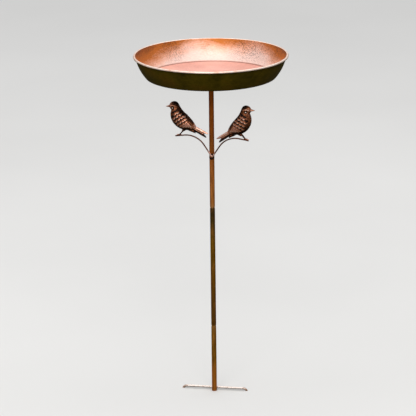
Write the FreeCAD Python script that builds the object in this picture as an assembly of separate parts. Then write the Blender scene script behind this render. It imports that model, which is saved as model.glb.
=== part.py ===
import FreeCAD, Part
import math
import os

from FreeCAD import Vector

# Bird bath and feeder dish on a three-section pole, with two birds on a forked branch.
# Millimetres. +Z is up along the pole, Z = 0 is the ground line, and the ground fork lies along X.

# Heights of the main stations on the pole
RIM_Z = 766.0
DISH_DEPTH = 48.0
TUBE_TOP_Z = 699.0
UPPER_JOINT_Z = 424.0
LOWER_JOINT_Z = 150.0
TUBE_FOOT_Z = -20.0
SPIKE_TIP_Z = -124.0
BASE_Z = RIM_Z - DISH_DEPTH

# Pole tube: each section but the top one is swaged down at its upper end to hold the next
TUBE_R = 5.5
TUBE_WALL = 0.9
SHOULDER_LENGTH = 3.5
SWAGE_LENGTH = 30.0
SWAGE_CLEARANCE = 0.05
SEAT_GAP = 0.3
SPIGOT_CHAMFER = (0.4, 1.0)
BORE_R = TUBE_R - TUBE_WALL
SWAGE_R = BORE_R - SWAGE_CLEARANCE
FITTED_GAP = 0.02

# Dish: a spun sheet bowl with a flat floor and a lip rolled outwards
RIM_R = 167.5
LIP_R = 2.5
SHEET = 0.8
WALL_CURVE_R = 102.0
WALL_LEAN = math.radians(11.9)
CORNER_R = 3.0
PLATE_R = 30.0
PLATE_THICKNESS = 1.5
SOCKET_R = 8.0
SOCKET_LENGTH = 14.0
SOCKET_DEPTH = 12.0
SOCKET_CLEARANCE = 0.05
SOCKET_CHAMFER = 0.6
PLATE_CHAMFER = 0.8

# Threaded stud, its plug in the pole's top and the washer under the dish
STUD_R = 3.0
THREAD_PITCH = 1.0
THREAD_DEPTH = 0.5
STUD_FOOT_Z = 687.0
STUD_TOP_Z = 710.2
PLUG_FLANGE = 1.5
PLUG_DEPTH = 14.0
PLUG_CHAMFER = 0.3
WASHER_R = 9.0
WASHER_HOLE_R = 3.3
WASHER_THICKNESS = 1.6
WASHER_GAP = 0.2

# Ground fork and centre spike
FORK_ROD_R = 2.5
FORK_HALF_WIDTH = 72.5
FORK_BEND_R = 9.0
FORK_TIP_Z = -118.0
SPIKE_R = 4.0
SPIKE_TENON = 30.0
POINT_LENGTH = 20.0
POINT_R = 0.6

# Branch: one wire bent to a V on the front of the pole, with an arm arching out to each side
WIRE_R = 1.5
BRANCH_YAW = -7.5
BRANCH_SHIFT = 2.5
VERTEX_Z = 538.6
ARM_SLOPE = math.radians(56.0)
TIP_SLOPE = math.radians(-8.0)
TIP_REACH = 82.6
TIP_Z = 581.4
ARM_BEND_R = 46.0
VERTEX_BEND_R = 2.5
BRANCH_Y = -(TUBE_R + WIRE_R)

# Birds: where each stands along its arm, and how far it leans back
LEFT, RIGHT = -1, 1
PERCH = {LEFT: 73.3, RIGHT: 76.0}
LEAN = {LEFT: 0.0, RIGHT: 8.0}
LEG_R = 1.2
LEG_SPACING = 2.8
TOE_R = 0.9
TOE_LENGTH = 4.5
SOLE_HEIGHT = 0.6
HIP = (13.0, 15.0)
KNEE = (6.0, 7.6)
KNEE_BEND_R = 2.0

# Bird cross-sections from tail to beak: distance towards the pole and height above the perch of the
# middle, direction of travel in degrees, half height and half depth
BIRD_SECTIONS = [
    (62.5, 2.0, 150, 5.2, 1.6),
    (50.0, 8.5, 150, 3.6, 2.6),
    (38.0, 15.0, 150, 5.6, 4.6),
    (28.0, 20.0, 149, 11.0, 8.5),
    (11.2, 27.5, 146, 16.8, 12.5),
    (-3.0, 40.0, 138, 17.0, 13.0),
    (-9.0, 52.5, 128, 14.4, 12.0),
    (-11.0, 63.5, 150, 12.0, 10.5),
    (-18.5, 63.3, 180, 7.4, 6.6),
    (-22.5, 62.6, 185, 2.8, 2.6),
    (-30.4, 61.7, 185, 0.6, 0.5),
]


def lathe(outline):
    """Turn a closed outline of (radius, height) points about the pole's axis."""
    points = [Vector(radius, 0, height) for radius, height in outline]
    face = Part.Face(Part.makePolygon(points + points[:1]))
    return face.revolve(Vector(0, 0, 0), Vector(0, 0, 1), 360)


def bend(before, corner, after, radius):
    """The arc that rounds a corner between two straight runs, as its first, middle and last points."""
    back = (before - corner).normalize()
    ahead = (after - corner).normalize()
    half_angle = math.acos(max(-1.0, min(1.0, back.dot(ahead)))) / 2
    run = radius / math.tan(half_angle)
    middle = (back + ahead).normalize() * (radius / math.sin(half_angle) - radius)
    return corner + back * run, corner + middle, corner + ahead * run


def rod(points, bend_radii, radius):
    """A round rod along straight runs, bent to the given radius at each inner point."""
    edges = []
    start = points[0]
    for before, corner, after, bend_radius in zip(points, points[1:], points[2:], bend_radii):
        first, middle, last = bend(before, corner, after, bend_radius)
        edges.append(Part.LineSegment(start, first).toShape())
        edges.append(Part.Arc(first, middle, last).toShape())
        start = last
    edges.append(Part.LineSegment(start, points[-1]).toShape())
    section = Part.Circle(points[0], points[1] - points[0], radius).toShape()
    return Part.Wire(edges).makePipeShell([Part.Wire([section])], True, False)


def pole_section(foot_z, top_z, swaged):
    """A pole tube. A swaged one narrows above its shoulder into the spigot of the next section."""
    if not swaged:
        return lathe([(BORE_R, foot_z), (TUBE_R, foot_z), (TUBE_R, top_z), (BORE_R, top_z)])
    shoulder_z = top_z - SHOULDER_LENGTH
    spigot_z = top_z + SWAGE_LENGTH
    spigot_bore_r = SWAGE_R - TUBE_WALL
    chamfer_depth, chamfer_length = SPIGOT_CHAMFER
    return lathe(
        [
            (BORE_R, foot_z),
            (TUBE_R, foot_z),
            (TUBE_R, shoulder_z),
            (SWAGE_R, top_z),
            (SWAGE_R, spigot_z - chamfer_length),
            (SWAGE_R - chamfer_depth, spigot_z),
            (spigot_bore_r, spigot_z),
            (spigot_bore_r, top_z),
            (BORE_R, shoulder_z),
        ]
    )


def ground_spike():
    """Solid spike welded into the foot of the lower tube, turned to a point."""
    tenon_r = BORE_R - FITTED_GAP
    return lathe(
        [
            (0, SPIKE_TIP_Z),
            (POINT_R, SPIKE_TIP_Z),
            (SPIKE_R, SPIKE_TIP_Z + POINT_LENGTH),
            (SPIKE_R, TUBE_FOOT_Z),
            (tenon_r, TUBE_FOOT_Z),
            (tenon_r, TUBE_FOOT_Z + SPIKE_TENON),
            (0, TUBE_FOOT_Z + SPIKE_TENON),
        ]
    )


def fork_bar():
    """Step bar behind the pole, bent down at both ends into pointed prongs."""
    bar_y = TUBE_R + FORK_ROD_R
    shank_foot_z = FORK_TIP_Z + POINT_LENGTH / 2
    path = [
        Vector(-FORK_HALF_WIDTH, bar_y, shank_foot_z),
        Vector(-FORK_HALF_WIDTH, bar_y, 0),
        Vector(FORK_HALF_WIDTH, bar_y, 0),
        Vector(FORK_HALF_WIDTH, bar_y, shank_foot_z),
    ]
    bar = rod(path, [FORK_BEND_R, FORK_BEND_R], FORK_ROD_R)
    for foot in (path[0], path[-1]):
        bar = bar.fuse(Part.makeCone(FORK_ROD_R, POINT_R, POINT_LENGTH / 2, foot, Vector(0, 0, -1)))
    return bar.removeSplitter()


def top_plug():
    """Flanged plug in the top of the pole, bored for the stud."""
    spigot_r = BORE_R - FITTED_GAP
    bore_r = STUD_R + FITTED_GAP
    flange_z = TUBE_TOP_Z + PLUG_FLANGE
    return lathe(
        [
            (bore_r, TUBE_TOP_Z - PLUG_DEPTH),
            (spigot_r, TUBE_TOP_Z - PLUG_DEPTH),
            (spigot_r, TUBE_TOP_Z),
            (TUBE_R, TUBE_TOP_Z),
            (TUBE_R, flange_z - PLUG_CHAMFER),
            (TUBE_R - PLUG_CHAMFER, flange_z),
            (bore_r, flange_z),
        ]
    )


def dish_stud():
    """Stud standing up from the plug, with ring grooves at the thread's pitch on its free length."""
    free_foot_z = TUBE_TOP_Z + PLUG_FLANGE
    outline = [(0, STUD_FOOT_Z), (STUD_R, STUD_FOOT_Z), (STUD_R, free_foot_z)]
    crest_z = free_foot_z + THREAD_PITCH
    while crest_z < STUD_TOP_Z - THREAD_PITCH / 2:
        outline.append((STUD_R - THREAD_DEPTH, crest_z - THREAD_PITCH / 2))
        outline.append((STUD_R, crest_z))
        crest_z += THREAD_PITCH
    outline.append((STUD_R - THREAD_DEPTH, STUD_TOP_Z))
    outline.append((0, STUD_TOP_Z))
    return lathe(outline)


def socket_foot_z():
    """Height of the socket's mouth, just above the washer."""
    return BASE_Z - PLATE_THICKNESS - SOCKET_LENGTH


def dish_washer():
    """Washer between the pole's plug and the dish's socket."""
    foot_z = TUBE_TOP_Z + PLUG_FLANGE + WASHER_GAP
    top_z = foot_z + WASHER_THICKNESS
    return lathe([(WASHER_HOLE_R, foot_z), (WASHER_R, foot_z), (WASHER_R, top_z), (WASHER_HOLE_R, top_z)])


def dish_socket():
    """Round boss under the dish, bored from below to take the stud."""
    foot_z = socket_foot_z()
    top_z = BASE_Z - PLATE_THICKNESS
    bore_r = STUD_R + SOCKET_CLEARANCE
    return lathe(
        [
            (bore_r, foot_z),
            (SOCKET_R - SOCKET_CHAMFER, foot_z),
            (SOCKET_R, foot_z + SOCKET_CHAMFER),
            (SOCKET_R, top_z),
            (0, top_z),
            (0, foot_z + SOCKET_DEPTH),
            (bore_r, foot_z + SOCKET_DEPTH),
        ]
    )


def dish_plate():
    """Disc that stiffens the floor round the socket."""
    foot_z = BASE_Z - PLATE_THICKNESS
    return lathe(
        [
            (0, foot_z),
            (PLATE_R - PLATE_CHAMFER, foot_z),
            (PLATE_R, foot_z + PLATE_CHAMFER),
            (PLATE_R, BASE_Z),
            (0, BASE_Z),
        ]
    )


def polar(centre, radius, angle):
    """Point at a radius and angle from a centre in the dish's half section."""
    return Vector(centre.x + radius * math.cos(angle), 0, centre.z + radius * math.sin(angle))


def arc(centre, radius, first_angle, last_angle):
    """Arc between two angles about a centre in the dish's half section."""
    angles = (first_angle, (first_angle + last_angle) / 2, last_angle)
    return Part.Arc(*[polar(centre, radius, angle) for angle in angles]).toShape()


def dish_bowl():
    """Spun bowl: flat floor, tight corner, curved wall leaning out, and a lip rolled outwards."""
    lip_centre = Vector(RIM_R - LIP_R, 0, RIM_Z - LIP_R)
    reach = WALL_CURVE_R - SHEET + LIP_R
    wall_centre = polar(lip_centre, -reach, -WALL_LEAN)
    corner_reach = WALL_CURVE_R - CORNER_R
    corner_fall = wall_centre.z - (BASE_Z + CORNER_R)
    corner_angle = -math.asin(corner_fall / corner_reach)
    corner_centre = polar(wall_centre, corner_reach, corner_angle)
    lip_side = math.acos((reach**2 + LIP_R**2 - WALL_CURVE_R**2) / (2 * reach * LIP_R))
    lip_foot_angle = math.pi - WALL_LEAN + lip_side
    lip_foot = polar(lip_centre, LIP_R, lip_foot_angle)
    outer_top_angle = math.atan2(lip_foot.z - wall_centre.z, lip_foot.x - wall_centre.x)
    inner_wall_r = WALL_CURVE_R - SHEET
    inner_corner_r = CORNER_R - SHEET
    inner_z = BASE_Z + SHEET
    floor_edge = polar(corner_centre, inner_corner_r, -math.pi / 2)
    base_edge = polar(corner_centre, CORNER_R, -math.pi / 2)
    axis_top = Vector(0, 0, inner_z)
    axis_foot = Vector(0, 0, BASE_Z)
    edges = [
        Part.LineSegment(axis_foot, base_edge).toShape(),
        arc(corner_centre, CORNER_R, -math.pi / 2, corner_angle),
        arc(wall_centre, WALL_CURVE_R, corner_angle, outer_top_angle),
        arc(lip_centre, LIP_R, lip_foot_angle - 2 * math.pi, 0.0),
        arc(lip_centre, LIP_R, 0.0, math.pi - WALL_LEAN),
        arc(wall_centre, inner_wall_r, -WALL_LEAN, corner_angle),
        arc(corner_centre, inner_corner_r, corner_angle, -math.pi / 2),
        Part.LineSegment(floor_edge, axis_top).toShape(),
        Part.LineSegment(axis_top, axis_foot).toShape(),
    ]
    section = Part.Face(Part.Wire(edges))
    return section.revolve(Vector(0, 0, 0), Vector(0, 0, 1), 360)


def on_branch(shape):
    """Carry a shape from the branch's own plane to its place on the front of the pole."""
    shape.translate(Vector(BRANCH_SHIFT, BRANCH_Y, 0))
    shape.rotate(Vector(0, 0, 0), Vector(0, 0, 1), BRANCH_YAW)
    return shape


def arm_corner():
    """Reach and height of the corner where an arm's two straight runs would meet."""
    rise = math.tan(ARM_SLOPE)
    fall = math.tan(TIP_SLOPE)
    reach = (TIP_Z - VERTEX_Z - fall * TIP_REACH) / (rise - fall)
    return reach, VERTEX_Z + rise * reach


def perch_z(reach):
    """Height of the wire's centre on the straight outer run of an arm."""
    return TIP_Z + (reach - TIP_REACH) * math.tan(TIP_SLOPE)


def branch_wire():
    """Wire bent to a V, with an arched arm to each side and rounded ends."""
    corner_reach, corner_z = arm_corner()
    path = [
        Vector(-TIP_REACH, 0, TIP_Z),
        Vector(-corner_reach, 0, corner_z),
        Vector(0, 0, VERTEX_Z),
        Vector(corner_reach, 0, corner_z),
        Vector(TIP_REACH, 0, TIP_Z),
    ]
    wire = rod(path, [ARM_BEND_R, VERTEX_BEND_R, ARM_BEND_R], WIRE_R)
    return on_branch(wire)


def bird_section(along, height, heading_deg, half_height, half_depth):
    """Oval cross-section of a bird, square to its heading."""
    heading = math.radians(heading_deg)
    ahead = Vector(math.cos(heading), 0, math.sin(heading))
    up = Vector(math.sin(heading), 0, -math.cos(heading))
    oval = Part.Ellipse(Vector(0, 0, 0), half_height, half_depth).toShape()
    turned = FreeCAD.Rotation(up, Vector(0, 1, 0), ahead, "ZXY")
    oval.Placement = FreeCAD.Placement(Vector(along, 0, height), turned)
    return Part.Wire([oval])


def perched(side, shape):
    """Carry a shape from a bird's foot at the origin, tail towards +X, to its place on its arm."""
    if side == RIGHT:
        shape = shape.mirror(Vector(0, 0, 0), Vector(1, 0, 0))
    shape.translate(Vector(side * PERCH[side], 0, perch_z(PERCH[side]) + WIRE_R))
    return on_branch(shape)


def leaned(side, shape):
    """Turn a shape back about a bird's foot."""
    shape.rotate(Vector(0, 0, 0), Vector(0, 1, 0), LEAN[side])
    return shape


def bird(side):
    """A cast bird facing away from the pole, as one closed body from tail to beak."""
    sections = [bird_section(*section) for section in BIRD_SECTIONS]
    return perched(side, leaned(side, Part.makeLoft(sections, True, False)))


def leg_pair(side):
    """Two legs side by side, each with its toes lying along the perch."""
    hip = Vector(HIP[0], 0, HIP[1])
    knee = Vector(KNEE[0], 0, KNEE[1])
    ankle = Vector(0, 0, SOLE_HEIGHT)
    heel = Vector(TOE_LENGTH / 2, 0, SOLE_HEIGHT)
    toe = Vector(-TOE_LENGTH, 0, SOLE_HEIGHT)
    legs = []
    for depth in (-LEG_SPACING / 2, LEG_SPACING / 2):
        leg = rod([hip, knee, ankle], [KNEE_BEND_R], LEG_R)
        leg = leg.fuse(rod([heel, toe], [], TOE_R)).removeSplitter()
        leg.translate(Vector(0, depth, 0))
        legs.append(leg)
    return perched(side, Part.makeCompound(legs))


def main():
    """Build every piece and write one STEP file for each."""
    pieces = {
        "lower_tube": pole_section(TUBE_FOOT_Z, LOWER_JOINT_Z, True),
        "ground_spike": ground_spike(),
        "fork_bar": fork_bar(),
        "middle_tube": pole_section(LOWER_JOINT_Z + SEAT_GAP, UPPER_JOINT_Z, True),
        "upper_tube": pole_section(UPPER_JOINT_Z + SEAT_GAP, TUBE_TOP_Z, False),
        "top_plug": top_plug(),
        "dish_stud": dish_stud(),
        "branch_wire": branch_wire(),
        "left_bird": bird(LEFT),
        "right_bird": bird(RIGHT),
        "left_legs": leg_pair(LEFT),
        "right_legs": leg_pair(RIGHT),
        "dish_washer": dish_washer(),
        "dish_bowl": dish_bowl(),
        "dish_plate": dish_plate(),
        "dish_socket": dish_socket(),
    }
    os.makedirs("parts", exist_ok=True)
    for name, shape in pieces.items():
        print(name, "valid" if shape.isValid() else "NOT VALID", round(shape.Volume, 1), "mm3")
        shape.exportStep(f"parts/{name}.step")


main()
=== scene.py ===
import logging
import math
from dataclasses import dataclass, field
from enum import Enum
from typing import Sequence

import bmesh
import bpy
import numpy as np
from mathutils import Matrix, Vector, noise
from mathutils.bvhtree import BVHTree


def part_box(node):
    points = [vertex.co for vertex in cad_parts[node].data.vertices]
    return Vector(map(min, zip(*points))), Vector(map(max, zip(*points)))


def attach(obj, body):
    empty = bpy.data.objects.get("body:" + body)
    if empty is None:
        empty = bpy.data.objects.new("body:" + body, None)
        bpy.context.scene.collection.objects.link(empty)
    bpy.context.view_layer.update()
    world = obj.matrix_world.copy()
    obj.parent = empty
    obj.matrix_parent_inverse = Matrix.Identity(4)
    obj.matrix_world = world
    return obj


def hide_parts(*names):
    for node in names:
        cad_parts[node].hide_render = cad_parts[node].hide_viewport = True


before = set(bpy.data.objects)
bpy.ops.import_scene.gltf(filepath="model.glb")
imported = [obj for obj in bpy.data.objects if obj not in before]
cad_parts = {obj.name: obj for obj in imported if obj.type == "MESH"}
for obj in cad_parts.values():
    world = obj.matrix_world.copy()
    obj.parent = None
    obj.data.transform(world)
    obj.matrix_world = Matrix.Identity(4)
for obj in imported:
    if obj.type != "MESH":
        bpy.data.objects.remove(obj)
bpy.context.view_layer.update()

LOG = logging.getLogger("bird_dish")
MM = 0.001
UP = Vector((0, 0, 1))
Colour = tuple[float, float, float]
Socket = bpy.types.NodeSocket
Value = Socket | float | tuple[float, ...]


# ---------------------------------------------------------------- materials


def set_stops(ramp: bpy.types.ColorRamp, stops: Sequence[tuple[float, Colour]]) -> None:
    """Set the colours of a ramp.

    Args:
        ramp: The ramp, with its two first stops.
        stops: Position and colour of each stop.
    """
    while len(ramp.elements) < len(stops):
        ramp.elements.new(0.5)
    for element, (position, colour) in zip(ramp.elements, stops):
        element.position = position
        element.color = (*colour, 1.0)


class Graph:
    """A material's node tree around one principled shader, with short calls for shared nodes."""

    def __init__(self, name: str) -> None:
        """Start an empty material.

        Args:
            name: The material's name.
        """
        self.material = bpy.data.materials.new(name)
        self.material.use_nodes = True
        self.tree = self.material.node_tree
        self.tree.nodes.clear()
        output = self.tree.nodes.new("ShaderNodeOutputMaterial")
        self.shader = self.tree.nodes.new("ShaderNodeBsdfPrincipled")
        self.tree.links.new(self.shader.outputs["BSDF"], output.inputs["Surface"])
        self.place = self.tree.nodes.new("ShaderNodeTexCoord").outputs["Object"]

    def node(self, kind: str, values: dict[str | int, Value], **settings: str) -> bpy.types.Node:
        """Add a node.

        Args:
            kind: The node's type name.
            values: Input name or index to a number, colour or socket.
            settings: Properties set on the node itself.

        Returns:
            The new node.
        """
        made = self.tree.nodes.new(kind)
        for name, value in settings.items():
            setattr(made, name, value)
        for key, value in values.items():
            self.feed(made.inputs[key], value)
        return made

    def feed(self, socket: Socket, value: Value) -> None:
        """Link a socket to an input, or set the input's own value.

        Args:
            socket: The input.
            value: A socket, number, vector or colour.
        """
        if isinstance(value, bpy.types.NodeSocket):
            self.tree.links.new(value, socket)
        elif isinstance(value, tuple) and len(value) == 3 and socket.type == "RGBA":
            socket.default_value = (*value, 1.0)
        else:
            socket.default_value = value

    def set(self, **inputs: Value) -> None:
        """Set the shader's inputs, with underscores for the spaces in their names."""
        for name, value in inputs.items():
            self.feed(self.shader.inputs[name.replace("_", " ")], value)

    def stretched(self, scale: tuple[float, float, float]) -> Socket:
        """Object coordinates scaled along each axis."""
        return self.node("ShaderNodeMapping", {"Vector": self.place, "Scale": scale}).outputs[0]

    def noise(self, vector: Socket, scale: float, detail: float, rough: float) -> Socket:
        """Fractal noise from 0 to 1."""
        values = {"Vector": vector, "Scale": scale, "Detail": detail, "Roughness": rough}
        return self.node("ShaderNodeTexNoise", values).outputs[0]

    def ramp(self, factor: Socket, stops: Sequence[tuple[float, Colour]]) -> Socket:
        """Colour ramp.

        Args:
            factor: The socket that drives it.
            stops: Position and colour of each stop.

        Returns:
            The colour socket.
        """
        made = self.node("ShaderNodeValToRGB", {"Fac": factor})
        set_stops(made.color_ramp, stops)
        return made.outputs["Color"]

    def level(self, factor: Value, low: float, high: float, start: float = 0.0, end: float = 1.0) -> Socket:
        """Map a factor between low and high to the range from start to end, clamped."""
        values = {"Value": factor, "From Min": low, "From Max": high, "To Min": start, "To Max": end}
        return self.node("ShaderNodeMapRange", values).outputs[0]

    def mix(self, factor: Value, first: Value, second: Value, blend: str = "MIX") -> Socket:
        """Mix two colours.

        Args:
            factor: Share of the second colour.
            first: The first colour.
            second: The second colour.
            blend: How the second is laid over the first.

        Returns:
            The colour socket.
        """
        made = self.node("ShaderNodeMix", {}, data_type="RGBA", blend_type=blend)
        self.feed(made.inputs[0], factor)
        self.feed(made.inputs[6], first)
        self.feed(made.inputs[7], second)
        return made.outputs[2]

    def math(self, operation: str, first: Value, second: Value = 0.0) -> Socket:
        """One arithmetic step."""
        return self.node("ShaderNodeMath", {0: first, 1: second}, operation=operation).outputs[0]

    def vector(self, operation: str, first: Value, second: Value = (0.0, 0.0, 0.0)) -> bpy.types.Node:
        """One step of vector arithmetic, as its node."""
        return self.node("ShaderNodeVectorMath", {0: first, 1: second}, operation=operation)

    def blend(self, first: Socket, second: Socket, share: float) -> Socket:
        """Weighted sum of two factors, with the first one's share given."""
        return self.math("ADD", self.math("MULTIPLY", first, share), self.math("MULTIPLY", second, 1 - share))

    def axis(self, name: str) -> Socket:
        """One component of the object coordinates."""
        return self.node("ShaderNodeSeparateXYZ", {"Vector": self.place}).outputs[name]

    def flat(self) -> Socket:
        """Object coordinates without their height."""
        return self.vector("MULTIPLY", self.place, (1.0, 1.0, 0.0)).outputs[0]

    def radius(self) -> Socket:
        """Distance from the Z axis."""
        return self.vector("LENGTH", self.flat()).outputs["Value"]

    def distance(self, centre: tuple[float, float, float]) -> Socket:
        """Distance from a point."""
        return self.vector("DISTANCE", self.place, centre).outputs["Value"]

    def bump(self, height: Socket, distance: float, strength: float) -> Socket:
        """Surface normal from a height."""
        values = {"Height": height, "Distance": distance, "Strength": strength}
        return self.node("ShaderNodeBump", values).outputs[0]

    def round_axis(self, turns: float, rings: float) -> Socket:
        """Coordinates that wrap round the Z axis without a seam.

        Args:
            turns: How fast the pattern changes round the axis.
            rings: How fast it changes outwards and upwards, in cycles per metre.

        Returns:
            A vector socket.
        """
        heading = self.vector("NORMALIZE", self.flat()).outputs[0]
        wrapped = self.vector("MULTIPLY", heading, (turns, turns, 0.0)).outputs[0]
        out = self.math("MULTIPLY", self.math("ADD", self.radius(), self.axis("Z")), rings)
        lift = self.node("ShaderNodeCombineXYZ", {"Z": out}).outputs[0]
        return self.vector("ADD", wrapped, lift).outputs[0]


@dataclass(frozen=True)
class AgedCopper:
    """Copper plate, darkened, with streaks drawn along the piece."""

    name: str
    dark: Colour
    middle: Colour
    bright: Colour
    streak: tuple[float, float, float] = (1.0, 1.0, 0.12)
    scale: float = 220.0
    metallic: float = 0.8
    smooth: float = 0.28
    rough: float = 0.5

    def material(self) -> bpy.types.Material:
        """Build the material.

        Returns:
            The material.
        """
        graph = Graph(self.name)
        drawn = graph.stretched(self.streak)
        fine = graph.noise(drawn, self.scale, 5.0, 0.6)
        broad = graph.noise(graph.place, 28.0, 3.0, 0.5)
        stops = [(0.34, self.dark), (0.5, self.middle), (0.66, self.bright)]
        colour = graph.ramp(graph.blend(fine, broad, 0.6), stops)
        speck = graph.level(graph.noise(graph.place, 900.0, 2.0, 0.5), 0.62, 0.72)
        colour = graph.mix(graph.math("MULTIPLY", speck, 0.55), colour, self.dark)
        graph.set(
            Base_Color=colour,
            Roughness=graph.level(fine, 0.3, 0.7, self.smooth, self.rough),
            Normal=graph.bump(fine, 0.00012, 0.5),
            Metallic=self.metallic,
        )
        return graph.material


@dataclass(frozen=True)
class PoleCopper:
    """Aged copper tube whose tone changes from section to section, with painted highlight and painted shade
    at the joints in its height ramp.
    """

    name: str
    tones_and_painted_light: tuple[tuple[float, Colour], ...]
    worn: Colour = (0.66, 0.24, 0.045)
    grime: Colour = (0.03, 0.012, 0.006)
    metallic: float = 0.4

    def material(self) -> bpy.types.Material:
        """Build the material.

        Returns:
            The material.
        """
        graph = Graph(self.name)
        low, high = self.tones_and_painted_light[0][0], self.tones_and_painted_light[-1][0]
        # Colour by height: the sections' own tones, with painted highlight and painted shade at the joints.
        height = graph.level(graph.axis("Z"), low, high)
        stops = [((station - low) / (high - low), colour) for station, colour in self.tones_and_painted_light]
        tone = graph.ramp(height, stops)
        drawn = graph.noise(graph.stretched((1.0, 1.0, 0.08)), 420.0, 4.0, 0.6)
        cloud = graph.noise(graph.stretched((1.0, 1.0, 0.45)), 95.0, 5.0, 0.65)
        worn = graph.mix(graph.level(cloud, 0.48, 0.68), tone, self.worn)
        shade = graph.level(drawn, 0.35, 0.7, 0.62, 1.25)
        colour = graph.mix(1.0, graph.mix(0.3, tone, worn), shade, "MULTIPLY")
        speck = graph.level(graph.noise(graph.place, 1100.0, 2.0, 0.5), 0.6, 0.7)
        colour = graph.mix(graph.math("MULTIPLY", speck, 0.5), colour, self.grime)
        graph.set(
            Base_Color=colour,
            Roughness=graph.level(cloud, 0.3, 0.7, 0.36, 0.52),
            Normal=graph.bump(drawn, 0.00008, 0.4),
            Metallic=self.metallic,
            Specular_IOR_Level=0.15,
        )
        return graph.material


@dataclass(frozen=True)
class WireCopper:
    """Copper-plated wire or rod, painted bright in its middle as a painted highlight and darker beyond, from
    near to far out.
    """

    name: str
    dark: Colour
    middle: Colour
    painted_highlight: Colour
    near: float = 0.005
    far: float = 0.010

    def material(self) -> bpy.types.Material:
        """Build the material.

        Returns:
            The material.
        """
        graph = Graph(self.name)
        fine = graph.noise(graph.place, 420.0, 5.0, 0.62)
        broad = graph.noise(graph.place, 60.0, 3.0, 0.5)
        ends = graph.ramp(graph.blend(fine, broad, 0.55), [(0.36, self.dark), (0.58, self.middle)])
        # Painted highlight: the middle of the wire, out to between near and far from its centre, is mixed to
        # the bright colour.
        out = graph.math("ABSOLUTE", graph.axis("X"))
        middle = graph.level(out, self.near, self.far, 1.0, 0.0)
        painted_light_and_tone = graph.math("MULTIPLY", middle, graph.level(fine, 0.3, 0.5))
        graph.set(
            Base_Color=graph.mix(painted_light_and_tone, ends, self.painted_highlight),
            Roughness=graph.level(fine, 0.3, 0.7, 0.32, 0.52),
            Normal=graph.bump(fine, 0.00012, 0.5),
            Metallic=0.6,
        )
        return graph.material


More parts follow.
